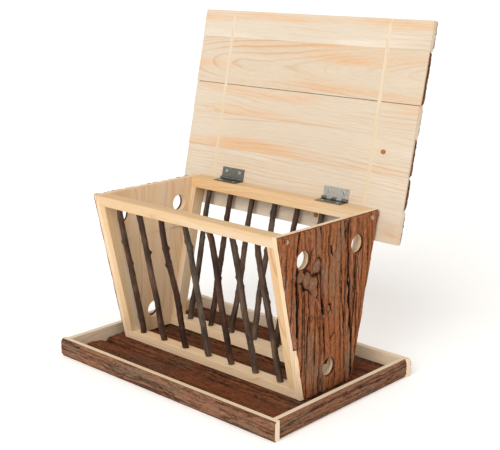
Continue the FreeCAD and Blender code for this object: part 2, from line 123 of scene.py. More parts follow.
def noise(u, v, seed):
    """Smooth value noise from 0 to 1 at points (u, v), one lattice cell per unit."""
    if seed not in TABLES:
        TABLES[seed] = np.random.RandomState(seed).rand(TABLE_SIZE, TABLE_SIZE)
    table = TABLES[seed]
    cell_u = np.floor(u).astype(int)
    cell_v = np.floor(v).astype(int)
    part_u = u - cell_u
    part_v = v - cell_v
    part_u = part_u * part_u * (3 - 2 * part_u)
    part_v = part_v * part_v * (3 - 2 * part_v)
    value = 0.0
    for step_v, share_v in ((0, 1 - part_v), (1, part_v)):
        row = (cell_v + step_v) % TABLE_SIZE
        for step_u, share_u in ((0, 1 - part_u), (1, part_u)):
            value = value + table[(cell_u + step_u) % TABLE_SIZE, row] * share_u * share_v
    return value


def step(low, high, value):
    """Eases from 0 at low to 1 at high."""
    share = np.clip((value - low) / (high - low), 0, 1)
    return share * share * (3 - 2 * share)


def cells(u, v, seed):
    """Cell noise: how much nearer the nearest cell is than the next one, and the nearest cell's chance."""
    lattice_u = np.floor(u).astype(int)
    lattice_v = np.floor(v).astype(int)
    first = np.full(u.shape, 9.0)
    second = np.full(u.shape, 9.0)
    pick = np.zeros(u.shape)
    tables = np.random.RandomState(seed).rand(3, TABLE_SIZE, TABLE_SIZE)
    for step_u in (-1, 0, 1):
        for step_v in (-1, 0, 1):
            spot = (lattice_u + step_u) % TABLE_SIZE, (lattice_v + step_v) % TABLE_SIZE
            centre_u = lattice_u + step_u + 0.1 + 0.8 * tables[0][spot]
            centre_v = lattice_v + step_v + 0.1 + 0.8 * tables[1][spot]
            distance = np.hypot(centre_u - u, centre_v - v)
            closer = distance < first
            second = np.where(closer, first, np.minimum(second, distance))
            pick = np.where(closer, tables[2][spot], pick)
            first = np.where(closer, distance, first)
    return second - first, pick


def away_from_line(along, across, start, end):
    """Distance of each point from a straight stretch between two points."""
    run = np.array(end) - np.array(start)
    share = ((along - start[0]) * run[0] + (across - start[1]) * run[1]) / (run @ run)
    share = np.clip(share, 0, 1)
    return np.hypot(along - start[0] - share * run[0], across - start[1] - share * run[1])


def in_millimetres(gap, along, across):
    """Turns the gap between two cells into a distance from the border between them."""
    slope_along = np.gradient(gap, axis=0) / np.gradient(along, axis=0)
    slope_across = np.gradient(gap, axis=1) / np.gradient(across, axis=1)
    return gap / np.maximum(np.hypot(slope_along, slope_across), 1e-3)


def grain_line(along, across, seed, knots):
    """Across position followed along the wandering grain, which bends round the knots."""
    line = across + 5 * (noise(along / 62, across / 40, seed) - 0.5)
    line = line + 1.8 * (noise(along / 15, across / 9, seed + 1) - 0.5)
    for knot_along, knot_across, radius in knots:
        squared = ((along - knot_along) / 1.7) ** 2 + (across - knot_across) ** 2
        line = line - np.exp(-squared / (1.3 * radius) ** 2) * (across - knot_across)
    return line


def bark_plates(along, across, line, seed, strand, run, cracked):
    """Height and tint of plates with crevices between them and cracks and flakes on them."""
    gap, pick = cells(along / run, line / strand, seed + 2)
    gap = in_millimetres(gap, along, across)
    open_share = cracked * step(0.3, 0.62, noise(along / 45, line / 10, seed + 9))
    crevice = 1 - open_share * (1 - step(0.2, 1.2, gap))
    dome = step(0, 3.2, gap)
    crack_gap, crack_pick = cells(along / (0.3 * run), line / (0.42 * strand), seed + 3)
    crack = 1 - step(0.0, 0.75, in_millimetres(crack_gap, along, across))
    crack = 1 - cracked * crack * step(0.4, 0.75, noise(along / 20, line / 5, seed + 10))
    flake_gap, flake_pick = cells(along / 7.5, line / 2.6, seed + 4)
    flake = step(0.0, 0.6, in_millimetres(flake_gap, along, across))
    swell = noise(along / 30, line / 9, seed + 5)
    fine = noise(along / 2.4, line / 1.2, seed + 6)
    height = 0.14 + 0.3 * dome + 0.26 * swell + 0.18 * pick + 0.16 * crack_pick + 0.1 * flake_pick
    height = height * (0.12 + 0.88 * crevice) * (0.5 + 0.5 * crack) * (0.86 + 0.14 * flake)
    height = height + 0.12 * (fine - 0.4)
    return height, 0.4 * pick + 0.35 * crack_pick + 0.25 * flake_pick, swell, fine


def bark_relief(along, across, seed, strand, run, cracked=1.0, furrows=(), knots=()):
    """Bark height (0 in a crevice, 1 on a plate), tint and greyness for points in millimetres.

    Strand and run are the width and length of a plate, and cracked is how open the crevices are. Furrows
    are (start, end, half width, depth share), with a negative depth for a raised ridge, and knots are
    (along, across, radius)."""
    line = grain_line(along, across, seed, knots)
    height, tint, swell, fine = bark_plates(along, across, line, seed, strand, run, cracked)
    wobble = 2.4 * (noise(along / 11, across / 30, seed + 7) - 0.5)
    grey = 0.8 * step(0.55, 0.8, noise(along / 40, across / 14, seed + 8))
    merged = np.full(along.shape, 1e-9)
    for knot_along, knot_across, radius in knots:
        away = np.hypot((along - knot_along) / 1.3, across - knot_across + wobble) / radius
        merged = merged + np.exp(-5 * away)
    gone = -np.log(merged) / 5 + 0.5 * (noise(along / 6, across / 5, seed + 11) - 0.5)
    inside = 1 - step(0.75, 1.15, gone)
    rings = 0.5 + 0.2 * swell + 0.13 * np.cos(gone * 7 + 5 * fine) + 0.2 * (1 - gone)
    height = height * (1 - inside) + inside * rings
    height = height * (1 - 0.7 * np.exp(-((gone - 1.15) / 0.14) ** 2))
    grey = np.maximum(grey, inside)
    for start, end, half_width, depth in furrows:
        gone = away_from_line(along, across + wobble, start, end) / half_width
        height = height * (1 - depth * np.exp(-gone ** 4))
        grey = np.maximum(grey, -depth * np.exp(-gone ** 2))
    return np.clip(height, 0, 1), tint, grey


# ---- shader helpers

def colour(text):
    """Linear RGBA of a six-digit sRGB colour."""
    parts = [int(text[index:index + 2], 16) / 255 for index in (0, 2, 4)]
    linear = [part / 12.92 if part <= 0.04045 else ((part + 0.055) / 1.055) ** 2.4 for part in parts]
    return (*linear, 1.0)


class Shader:
    """Small builder for one node material."""

    def __init__(self, name):
        self.material = bpy.data.materials.new(name)
        self.material.use_nodes = True
        self.tree = self.material.node_tree
        self.surface = self.tree.nodes["Principled BSDF"]
        self.place = self.add("ShaderNodeTexCoord").outputs["Object"]

    def stored(self, name, output="Fac"):
        """A value that the mesh carries at its vertices."""
        return self.add("ShaderNodeAttribute", attribute_name=name).outputs[output]

    def add(self, kind, sockets=None, **settings):
        """A new node, its settings made, its sockets linked or given a value."""
        node = self.tree.nodes.new(kind)
        for name, value in settings.items():
            setattr(node, name, value)
        self.feed(node, sockets or {})
        return node

    def feed(self, node, sockets):
        """Links a node's sockets or gives them a value."""
        for name, value in sockets.items():
            if isinstance(value, bpy.types.NodeSocket):
                self.tree.links.new(value, node.inputs[name])
            else:
                node.inputs[name].default_value = value

    def stretched(self, scales):
        """The place on the piece, with its three directions scaled."""
        return self.add("ShaderNodeMapping", {"Vector": self.place, "Scale": scales}).outputs[0]

    def grain(self, scales, detail=3.0, roughness=0.55):
        """Noise whose three scales are in cells per metre."""
        sockets = {"Vector": self.stretched(scales), "Scale": 1.0, "Detail": detail, "Roughness": roughness}
        return self.add("ShaderNodeTexNoise", sockets).outputs["Fac"]

    def sum(self, kind, first, second=0.0, third=0.0):
        sockets = {0: first, 1: second, 2: third}
        return self.add("ShaderNodeMath", sockets, operation=kind).outputs[0]

    def vector(self, kind, first, second=(0.0, 0.0, 0.0)):
        return self.add("ShaderNodeVectorMath", {0: first, 1: second}, operation=kind)

    def span(self, value, low, high, to_low=0.0, to_high=1.0):
        """Carries a value's stretch from low to high over to another stretch, clamped."""
        sockets = {"Value": value, "From Min": low, "From Max": high, "To Min": to_low, "To Max": to_high}
        return self.add("ShaderNodeMapRange", sockets).outputs[0]

    def ramp(self, value, stops):
        """Colour of a value, from (position, colour) stops."""
        node = self.add("ShaderNodeValToRGB", {0: value})
        points = node.color_ramp.elements
        while len(points) < len(stops):
            points.new(0.5)
        for point, (position, text) in zip(points, stops):
            point.position = position
            point.color = colour(text)
        return node.outputs[0]

    def blend(self, share, first, second, kind="MIX"):
        sockets = {0: share, 6: first, 7: second}
        node = self.add("ShaderNodeMix", sockets, data_type="RGBA", blend_type=kind)
        return node.outputs[2]

    def wash(self, tint, value, stretch, text, kind="MIX"):
        """Lays a colour over the tint by a share that the stretch draws from a value."""
        return self.blend(self.span(value, *stretch), tint, colour(text), kind)

    def finish(self, tint, roughness, bumps=(), **fixed):
        """Sets the surface; bumps are pairs of a height and its depth in metres."""
        normal = {}
        for height, depth in bumps:
            sockets = {"Height": height, "Distance": depth, "Strength": 1.0, **normal}
            normal = {"Normal": self.add("ShaderNodeBump", sockets).outputs[0]}
        fixed = {name.replace("_", " "): value for name, value in fixed.items()}
        self.feed(self.surface, {"Base Color": tint, "Roughness": roughness, **normal, **fixed})
        return self.material


# Darkness of the wood through one year, from its early to its late wood.
YEAR_STOPS = ((0.0, "101010"), (0.35, "000000"), (0.7, "5A5A5A"), (0.9, "FFFFFF"), (1.0, "101010"))


def pine(name, early, late, cloud_tint, ring_gap, ring_share=0.8, knots=()):
    """Planed softwood with growth rings round the log's middle line; knots are (x, y, radius) in mm.

    The ring gap is in mm, and the ring share is how dark the late wood is."""
    shader = Shader(name)
    board = shader.place
    shader.place = shader.stored("log", "Vector")
    wander = shader.grain((3.4, 13, 13), detail=1.0, roughness=0.4)
    ripple = shader.grain((16, 55, 55), detail=2.0)
    parts = shader.add("ShaderNodeSeparateXYZ", {0: shader.place}).outputs
    flat = shader.sum("MULTIPLY_ADD", parts[1], parts[1], shader.sum("MULTIPLY", parts[2], parts[2]))
    radius = shader.sum("MULTIPLY_ADD", wander, 34 * MM, shader.sum("SQRT", flat))
    radius = shader.sum("MULTIPLY_ADD", ripple, 3.0 * MM, radius)
    spots = []
    for x, y, size in knots:
        away = shader.vector("SUBTRACT", board, (x * MM, y * MM, 0)).outputs[0]
        away = shader.vector("MULTIPLY", away, (0.75, 1, 0)).outputs[0]
        away = shader.vector("LENGTH", away).outputs["Value"]
        away = shader.sum("MULTIPLY_ADD", ripple, 2.0 * MM, away)
        spots.append((away, size))
        radius = shader.sum("ADD", radius, shader.span(away, 0, 5 * size * MM, 2.2 * size * MM, 0))
    uneven = {"W": radius, "Scale": 90.0, "Detail": 1.0}
    uneven = shader.add("ShaderNodeTexNoise", uneven, noise_dimensions="1D").outputs["Fac"]
    year = shader.sum("DIVIDE", radius, ring_gap * MM)
    year = shader.sum("FRACT", shader.sum("MULTIPLY_ADD", uneven, 2.6, year))
    ring = shader.ramp(year, YEAR_STOPS)
    weight = shader.grain((4, 26, 26), detail=2.0)
    ring = shader.sum("MULTIPLY", ring, shader.span(weight, 0.4, 0.68, 0.06, 1.0))
    cloud = shader.grain((2.6, 34, 34))
    wood = shader.blend(shader.span(cloud, 0.53, 0.7, 0.0, 0.72), colour(early), colour(cloud_tint))
    wood = shader.wash(wood, cloud, (0.32, 0.44, 0.55, 0.0), "DDD6CA")
    wood = shader.blend(shader.sum("MULTIPLY", ring, ring_share), wood, colour(late))
    tone = shader.grain((1.1, 1.1, 1.1), detail=0.0)
    wood = shader.wash(wood, tone, (0.3, 0.7, 0.0, 0.45), "F4EADC", "MULTIPLY")
    fibre = shader.grain((38, 1300, 1300))
    wood = shader.wash(wood, fibre, (0.35, 0.8, 0.0, 0.3), "D9BE9F", "MULTIPLY")
    for away, size in spots:
        for inner, outer, share, text in ((1, 2.6, 0.5, cloud_tint), (0.9, 1.15, 0.9, "4A2712"),
                                          (0.5, 0.95, 0.9, "A9682F")):
            wood = shader.wash(wood, away, (inner * size * MM, outer * size * MM, share, 0.0), text)
    rough = shader.span(fibre, 0.2, 0.8, 0.5, 0.7)
    return shader.finish(wood, rough, ((fibre, 0.05 * MM), (ring, 0.04 * MM)))


def bark(name, shade, crevice, deep, body, top, haze, warm, fresh):
    """Rough bark: darker in the crevices and lighter on the plate tops by their depth, partly the bark's own
    colour and partly painted shade and painted highlight; plates of their own tint, fresh and grey places, fibres
    and pale chips.

    The shade widens the dark crevices, with their painted shade, at the plates' cost."""
    shader = Shader(name)
    relief = shader.stored("relief")
    mottle = shader.grain((90, 300, 300), detail=4.0, roughness=0.65)
    level = shader.sum("MULTIPLY_ADD", shader.span(mottle, 0.25, 0.75, -0.5, 0.5), 0.34, relief)
    # Painted shade and highlight: the colour follows the relief from the near-black crevice colour to the pale
    # plate top, partly the bark's own colour.
    tint = shader.ramp(level, ((0.08 + shade, crevice), (0.26 + shade, deep), (0.48 + shade, body),
                               (0.76 + shade, top), (1.0, top)))
    plate = shader.stored("tint")
    streak = shader.grain((9, 150, 150), roughness=0.6)
    share = shader.sum("MULTIPLY", shader.span(streak, 0.5, 0.66, 0.0, 0.6), shader.span(level, 0.3, 0.65))
    tint = shader.blend(share, tint, colour(fresh))
    glow = shader.sum("MULTIPLY", shader.span(plate, 0.5, 0.8, 0.0, 0.65), shader.span(level, 0.25, 0.6))
    tint = shader.blend(glow, tint, colour(warm))
    patch = shader.grain((26, 70, 70), roughness=0.6)
    share = shader.sum("MULTIPLY", shader.stored("grey"), shader.span(patch, 0.38, 0.6, 0.2, 0.8))
    share = shader.sum("MULTIPLY", share, shader.span(level, 0.15, 0.5))
    tint = shader.blend(share, tint, colour(haze))
    tint = shader.wash(tint, plate, (0.2, 0.42, 0.5, 0.0), "77564A", "MULTIPLY")
    fibre = shader.grain((120, 1500, 1500), detail=4.0, roughness=0.7)
    tint = shader.wash(tint, fibre, (0.34, 0.6, 0.7, 0.0), "5E4336", "MULTIPLY")
    chip = shader.grain((210, 620, 620), roughness=0.6)
    tint = shader.wash(tint, chip, (0.64, 0.73, 0.0, 0.4), "B5876A")
    pit = shader.grain((170, 420, 420), detail=2.0)
    tint = shader.wash(tint, pit, (0.66, 0.73, 0.0, 0.75), deep)
    rough = shader.span(fibre, 0.2, 0.8, 0.78, 0.95)
    return shader.finish(tint, rough, ((mottle, 1.3 * MM), (chip, 0.5 * MM), (fibre, 0.35 * MM)),
                         Specular_IOR_Level=0.15)


def twig_bark():
    """Smooth thin bark from brown to grey, dark on the buds."""
    shader = Shader("twig_bark")
    cloud = shader.grain((26, 80, 80), detail=4.0)
    brown = shader.ramp(cloud, ((0.3, "291911"), (0.5, "482D1F"), (0.7, "6E4E3B")))
    grey = shader.ramp(cloud, ((0.3, "302822"), (0.5, "574B40"), (0.7, "7A6C5E")))
    tint = shader.blend(shader.stored("grey"), brown, grey)
    streak = shader.grain((80, 1100, 1100))
    tint = shader.wash(tint, streak, (0.35, 0.65, 0.6, 0.0), "523C30", "MULTIPLY")
    tint = shader.wash(tint, shader.stored("relief"), (0.25, 0.9, 0.0, 0.7), "271A14")
    pore = shader.grain((420, 800, 800), detail=1.0)
    tint = shader.wash(tint, pore, (0.7, 0.76, 0.0, 0.3), "A08A76")
    rough = shader.span(streak, 0.2, 0.8, 0.5, 0.75)
    return shader.finish(tint, rough, ((cloud, 0.5 * MM), (streak, 0.25 * MM)), Specular_IOR_Level=0.25)


def zinc(name, tint_low, tint_high):
    """Zinc-plated steel with faint spangles and scratches."""
    shader = Shader(name)
    cloud = shader.grain((260, 260, 260))
    spangle = shader.add("ShaderNodeTexVoronoi", {"Vector": shader.place, "Scale": 700.0})
    spangle = spangle.outputs["Distance"]
    tint = shader.blend(cloud, colour(tint_low), colour(tint_high))
    scratch = shader.grain((150, 3500, 3500), detail=2.0)
    tint = shader.wash(tint, scratch, (0.6, 0.75, 0.0, 0.35), "F4F3EE")
    rough = shader.sum("MULTIPLY_ADD", spangle, 0.12, shader.span(cloud, 0.3, 0.7, 0.26, 0.4))
    return shader.finish(tint, rough, ((scratch, 0.02 * MM),), Metallic=1.0)


HINGE = Vector(frame["joints"][0]["pos_m"])


def lid_spot(along, above_hinge, size):
    """Knot on the lid, from its place along the hinge and its height above it, in millimetres."""
    return along, -(above_hinge + HINGE.dot(UP_LID) / MM), size


LID_KNOTS = (lid_spot(150, 68, 3.7), lid_spot(63, -25, 3.6), lid_spot(-150, 92, 1.3),
             lid_spot(118, 121, 0.7))
PINE_LID = pine("pine_lid", "CBC0AF", "BC8F62", "D3A97E", 3.6, 0.75, LID_KNOTS)
PINE_FRAME = pine("pine_frame", "D6B991", "B48651", "CD9D66", 3.8)
PINE_PANEL = pine("pine_panel", "E6CEAF", "C09466", "DCB486", 3.6)
PINE_PALE = pine("pine_pale", "E4D2B9", "C9AA86", "DABF9B", 2.6)
PINE_SPLINE = pine("pine_spline", "CEBFA4", "C0A57C", "C9B28D", 2.0, 0.5)
# Bark colours from crevice to plate top; the near-black crevice colours are partly painted shade in the recesses.
BARK_PANEL = bark("bark_panel", 0.05, "0A0402", "321709", "7E4A2D", "A86D48", "8E7660", "9C5C36", "B48161")
BARK_RAIL = bark("bark_rail", 0.0, "1E120C", "432A1D", "744E37", "936C52", "7A6C5B", "905743", "906853")
BARK_FLOOR = bark("bark_floor", 0.0, "0C0503", "29130A", "5E341D", "7A4A2E", "5E493C", "7A4226", "82543A")
TWIG_BARK = twig_bark()
# Zinc in two tones: the darker one is the nails' duller zinc and, on the hinges, painted shade; the bright one on
# the right hinge's lid leaf is a painted highlight.
ZINC_BRIGHT = zinc("zinc_bright", "A9A8A0", "DEDDD6")
ZINC_DULL_AND_SHADED = zinc("zinc_dull_and_shaded", "62615C", "96958E")


# ---- mesh helpers

def linked(mesh, materials):
    """Object of the same name for a mesh, in the scene and with its materials."""
    for material in materials:
        mesh.materials.append(material)
    piece = bpy.data.objects.new(mesh.name, mesh)
    scene.collection.objects.link(piece)
    return piece


def from_bmesh(name, mesh, materials=()):
    """Object made from a bmesh, which is freed."""
    data = bpy.data.meshes.new(name)
    mesh.to_mesh(data)
    mesh.free()
    return linked(data, materials)


def new_piece(name, points, faces, materials, indices, smooth, attributes):
    """Object made from points and faces, with a material and a smoothness per face and values per point."""
    mesh = bpy.data.meshes.new(name)
    mesh.from_pydata(points.tolist(), [], faces)
    piece = linked(mesh, materials)
    mesh.polygons.foreach_set("material_index", indices)
    mesh.polygons.foreach_set("use_smooth", smooth)
    for key, values in attributes.items():
        layer = mesh.attributes.new(key, "FLOAT", "POINT")
        layer.data.foreach_set("value", np.asarray(values, dtype=np.float32))
    mesh.update()
    return piece


def settle(piece, rotation, pith=(0.0, 0.0), tilt=0.0, slide=0.0):
    """Puts a mesh made in turned coordinates in place and stores where each vertex lay in its log.

    The pith is the log's middle line in the board's section, and the tilt is its angle to the board."""
    points = np.array([vertex.co for vertex in piece.data.vertices])
    points = points - np.array((points[:, 0].mean(), pith[0], pith[1]))
    turn = np.array(Matrix.Rotation(tilt, 3, "Y"))
    points = points @ turn.T + np.array((slide, 0, 0))
    layer = piece.data.attributes.new("log", "FLOAT_VECTOR", "POINT")
    layer.data.foreach_set("vector", points.astype(np.float32).ravel())
    piece.matrix_world = rotation.to_4x4()


def hand_over(piece, body, slot, *nodes):
    """Says what a piece rides on and hides the CAD nodes it stands for; the slot, what it is made of, is not used.
    """
    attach(piece, body)
    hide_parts(*nodes)


def cut(piece, cutter):
    """Takes the cutter's shape out of the piece and drops the cutter."""
    modifier = piece.modifiers.new("cut", "BOOLEAN")
    modifier.object = cutter
    modifier.solver = "EXACT"
    bpy.context.view_layer.update()
    graph = bpy.context.evaluated_depsgraph_get()
    mesh = bpy.data.meshes.new_from_object(piece.evaluated_get(graph), depsgraph=graph)
    piece.modifiers.clear()
    piece.data = mesh
    bpy.data.objects.remove(cutter)


# ---- boards with a bark face

# Spacing of the points of a bark face, in mm.
ALONG_STEP = 1.25
ACROSS_STEP = 0.7


def foot_and_head(points, share_along):
    """The two long edges of a board's outline along its length, from its CAD corners."""
    near = points[points[:, 0] < points[:, 0].min() + 1, 1]
    far = points[points[:, 0] > points[:, 0].max() - 1, 1]
    foot = near.min() + (far.min() - near.min()) * share_along
    head = near.max() + (far.max() - near.max()) * share_along
    return foot, head


def waney_edges(along, seed, waney, bare):
    """How far the bark falls short of the two long edges, and of all of the upper one's bare stretch."""
    wave = [waney * noise(along / 19, along * 0 + 7 * side, seed + 20) for side in (1, 2)]
    if bare:
        height, width = bare
        lost = 1 - step(height - 3, height + 1, along)
        wave[1] = wave[1] + (width + 1.2 * noise(along / 8, along * 0, seed + 23)) * lost
    return wave


def border(number):
    """Numbers of a grid's outer points, in order round it."""
    return np.concatenate((number[:-1, 0], number[-1, :-1], number[:0:-1, -1], number[0, :0:-1]))


def board_faces(number, rim):
    """Faces of the bark grid, of three bands round the board below it, and of the bare side."""
    faces = np.stack((number[:-1, :-1], number[1:, :-1], number[1:, 1:], number[:-1, 1:]), -1)
    faces = faces.reshape(-1, 4).tolist()
    loops = [rim] + [number.size + level * len(rim) + np.arange(len(rim)) for level in range(3)]
    for upper, lower in zip(loops, loops[1:]):
        band = np.stack((upper, np.roll(upper, -1), np.roll(lower, -1), lower), -1)
        faces += band[:, ::-1].tolist()
    faces.append(loops[3][::-1].tolist())
    return faces


def bark_board(name, rotation, seed, bark_material, wood_material, bark_depth, crown, ragged, waney,
               trims=(0.0, 0.0), split=0.0, undercut=0.0, bow=0.0, side_bark=None, pith=(0.0, 60.0),
               tilt=0.0, eased=0.35, windows=(), bare=None, weathered=0.0, **look):
    """Board fitted to its CAD node: local X is the grain, Y the width, Z out of the bark; sizes in mm.

    Crown rounds the bark's long edges, bow the whole bark. Ragged chips its ends, and waney is how far its
    long edges wander. Trims shorten the ends, undercut slants the far end's wood under a lip of bark, and
    split opens the joint on the lower edge. Side_bark is how far bark reaches down the sides, and bare is
    the (height, width) of a stretch of the upper edge without bark. Pith and tilt place the log's middle
    line, eased bevels the bare face, weathered greys the bark, and look goes to bark_relief."""
    points = local_points(name, rotation) / MM
    low = points.min(0)
    high = points.max(0)
    start = low[0] + trims[0]
    end = high[0] - trims[1]
    count_along = int((end - start) / ALONG_STEP)
    count_across = int((high[1] - low[1]) / ACROSS_STEP)
    share_along = np.linspace(0, 1, count_along + 1)[:, None]
    share_across = np.linspace(0, 1, count_across + 1)[None, :]
    along = start + (end - start) * share_along + 0 * share_across
    foot, head = foot_and_head(points, share_along)
    wave = waney_edges(along, seed, waney, bare)
    across = (foot + wave[0]) * (1 - share_across) + (head - wave[1]) * share_across

    relief, tint, grey = bark_relief(along, across, seed, **look)
    grey = np.clip(grey + weathered, 0, 1)
    tint = tint + 0.3 * (np.random.RandomState(seed).rand() - 0.5)
    to_edge = np.minimum(across - foot - wave[0], head - wave[1] - across)
    to_end = np.minimum(along - start, end - along)
    relief = relief + 0.75 * (0.7 - relief) * (1 - step(0, 1.6, np.minimum(to_edge, to_end)))
    spots = [rotation.transposed() @ centre for centre in windows]
    for spot in spots:
        to_window = np.hypot(along - spot.x / MM, across - spot.y / MM) - WINDOW_RADIUS / MM
        relief = relief + 0.85 * (0.72 - relief) * (1 - step(0.4, 2.6, to_window))
    drop = crown * (1 - step(0, 2.2 * crown + 0.5, to_edge)) ** 1.5 + bow * (2 * share_across - 1) ** 2
    chipped = ragged * noise(across / 3.1, along * 0 + 3, seed + 21) * (1 - step(0, 5, to_end))
    height = high[2] - low[2] - drop - bark_depth * (1 - relief) - 0.5 * chipped
    shortened = np.where(along < (start + end) / 2, chipped, -chipped) - 0.3 * undercut * share_along
    grid = np.stack((along + shortened, across, low[2] + height), -1).reshape(-1, 3)

    rows, columns = along.shape
    number = np.arange(along.size).reshape(along.shape)
    rim = border(number)
    size = len(rim)
    row = rim // columns
    column = rim % columns
    outline = np.stack((along, foot + (head - foot) * share_across), -1).reshape(-1, 2)[rim]
    seam = high[2] - low[2] - (side_bark or bark_depth)
    seam = seam + 0.9 * (noise(outline[:, 0] / 9, outline[:, 1] / 9, seed + 22) - 0.5)
    seam = np.minimum(seam, grid[rim][:, 2] - low[2] - 0.35)
    middle = np.array([(start + end) / 2, (low[1] + high[1]) / 2])
    on_side = np.column_stack(((row == 0) | (row == rows - 1), (column == 0) | (column == columns - 1)))
    inward = np.sign(middle - outline) * on_side * eased
    slant = np.column_stack((undercut * share_along.ravel()[row], np.zeros(size)))
    opened = np.column_stack((np.zeros(size), split * (column == 0)))
    ring_seam = np.column_stack((outline - 0.95 * slant, low[2] + seam))
    ring_low = np.column_stack((outline + opened, np.full(size, low[2] + eased)))
    ring_base = np.column_stack((outline + opened + inward, np.full(size, low[2])))
    vertices = np.concatenate((grid, ring_seam, ring_low, ring_base)) * MM

    faces = board_faces(number, rim)
    bark_faces = (rows - 1) * (columns - 1)
    indices = np.ones(len(faces), dtype=np.int32)
    indices[:bark_faces] = 0
    indices[bark_faces:bark_faces + size] = wave[1].ravel()[rim] * on_side[:, 1] > 3
    smooth = np.arange(len(faces)) < bark_faces
    stored = {"relief": np.concatenate((relief.ravel(), np.full(size, 0.3), np.full(2 * size, 0.5))),
              "tint": np.concatenate((tint.ravel(), np.full(3 * size, 0.5))),
              "grey": np.concatenate((grey.ravel(), np.zeros(3 * size)))}
    materials = (bark_material, wood_material)
    piece = new_piece(name + "_board", vertices, faces, materials, indices, smooth, stored)
    for spot in spots:
        cut(piece, window_cutter(spot, low[2] * MM, (high[2] - bark_depth) * MM, materials))
        paint_rim(piece.data, spot)
    pith_across = (low[1] + high[1]) / 2 + pith[0]
    settle(piece, rotation, (pith_across * MM, (low[2] - pith[1]) * MM), math.radians(tilt), 0.9 * seed)
    return piece


WINDOW_RADIUS = 11.5 * MM
WINDOW_SIDES = 56


def window_cutter(spot, low, seam, materials):
    """Cylinder through a board whose side is bark above the seam and wood below it."""
    reach = 20 * MM
    profile = ((0, low - reach), (WINDOW_RADIUS, low - reach), (WINDOW_RADIUS, seam),
               (WINDOW_RADIUS, seam + reach), (0, seam + reach))
    cutter = from_bmesh("window", lathe(profile, WINDOW_SIDES), materials)
    for face in cutter.data.polygons:
        face.material_index = 0 if face.center.z > seam else 1
        face.use_smooth = True
    cutter.data.transform(Matrix.Translation((spot.x, spot.y, 0)))
    return cutter


def paint_rim(mesh, spot):
    """Gives the cut edge of a window the dark tint of sawn bark."""
    relief = mesh.attributes["relief"].data
    for vertex in mesh.vertices:
        if math.hypot(vertex.co.x - spot.x, vertex.co.y - spot.y) < WINDOW_RADIUS + 0.05 * MM:
            relief[vertex.index].value = 0.4


def opening_middle(name):
    """Middle of one of the record's openings."""
    boxes = {opening["name"]: opening["box_m"] for opening in frame["record"]["physics"]["openings"]}
    low, high = boxes[name]
    return (Vector(low) + Vector(high)) / 2


# Knots on the front rail, as (place along, height from its lower edge, radius) in mm.
FRONT_RAIL_KNOTS = ((69.9, 17.0, 2.4), (-81.7, 19.5, 2.2), (-65, 4.5, 1.6), (128, 12, 1.8))


def make_tray():
    """Four half-round rails with bark outside, and five floor slabs with bark upwards."""
    outward = {"front": -REAR, "rear": REAR, "left": -RIGHT, "right": RIGHT}
    for number, (side, normal) in enumerate(outward.items()):
        rotation = turned(UP.cross(normal), normal)
        name = "tray_%s_rail" % side
        rail_knots = ((30 * number, 13, 2.2), (-70 + 9 * number, 6, 1.5))
        knots = FRONT_RAIL_KNOTS if side == "front" else rail_knots
        rail = bark_board(name, rotation, 11 + 30 * number, BARK_RAIL, PINE_PALE, bark_depth=1.7, crown=2.6,
                          ragged=0.5, waney=0.2, pith=(4, 22), strand=5.0, run=120, cracked=0.55,
                          knots=knots)
        hand_over(rail, "rack", "bark_rail", name)
    for number in range(1, 6):
        name = "floor_slab_%d" % number
        slab = bark_board(name, turned(RIGHT, UP), 200 + 30 * number, BARK_FLOOR, PINE_FRAME,
                          bark_depth=4.4, crown=1.8, ragged=2.6, waney=1.6, bow=2.4, side_bark=10,
                          trims=(1.8, 0.5), strand=5.0, run=330)
        hand_over(slab, "rack", "floor_bark", name)


# Marks on the right end, with places as (height, distance in front of the middle) in mm: furrows as
# (start, end, half width, depth share), the last one a raised scar, and the lobes of the burl and knots.
RIGHT_FURROWS = (
    ((218, 57), (172, 62), 2.1, 1.0), ((168, 61), (96, 58), 1.9, 1.0),
    ((219, 19), (196, 17), 1.6, 1.0), ((170, 17), (136, 16), 2.6, 1.0),
    ((136, 16), (112, 11), 2.0, 1.0), ((216, -17), (145, -22), 1.0, 0.9),
    ((145, -22), (14, -34), 1.2, 1.0), ((216, -33), (140, -36), 1.5, 1.0),
    ((140, -36), (14, -47), 1.9, 1.0), ((192, -2), (182, -3), 1.8, 1.0),
    ((206, 4), (150, 4), 0.9, 0.9), ((150, 47), (24, 42), 0.9, 0.9),
    ((112, 27), (50, 24), 0.9, 0.8), ((130, 38), (95, 36), 0.7, 0.8),
    ((100, 9), (52, 6), 0.9, 0.9), ((196, 35), (178, 39), 0.8, 0.9),
    ((108, -19), (60, -25), 0.6, 0.8), ((186, -52), (90, -58), 0.7, 0.8),
    ((122, -1), (110, -5), 1.0, 0.9), ((117, -37), (112, -38), 1.5, 1.0),
    ((143, 33), (109, 10), 1.5, -0.8))
RIGHT_KNOTS = ((166, 53, 5.5), (161, 42, 7.5), (153, 31, 7.0), (174, 24, 6.5), (142, 27, 4.0),
               (117, 2, 3.2), (112.5, 34, 1.9))
LEFT_KNOTS = ((84, 30, 4.5), (150, -38, 3.0), (196, 5, 2.2))

# The planks of each end and the windows they hold, and the bare stretch on the right front one.
END_PLANKS = (("front", "front"), ("middle", "lower"), ("rear", "rear"))
BARE_STRETCH = (82, 3.6)


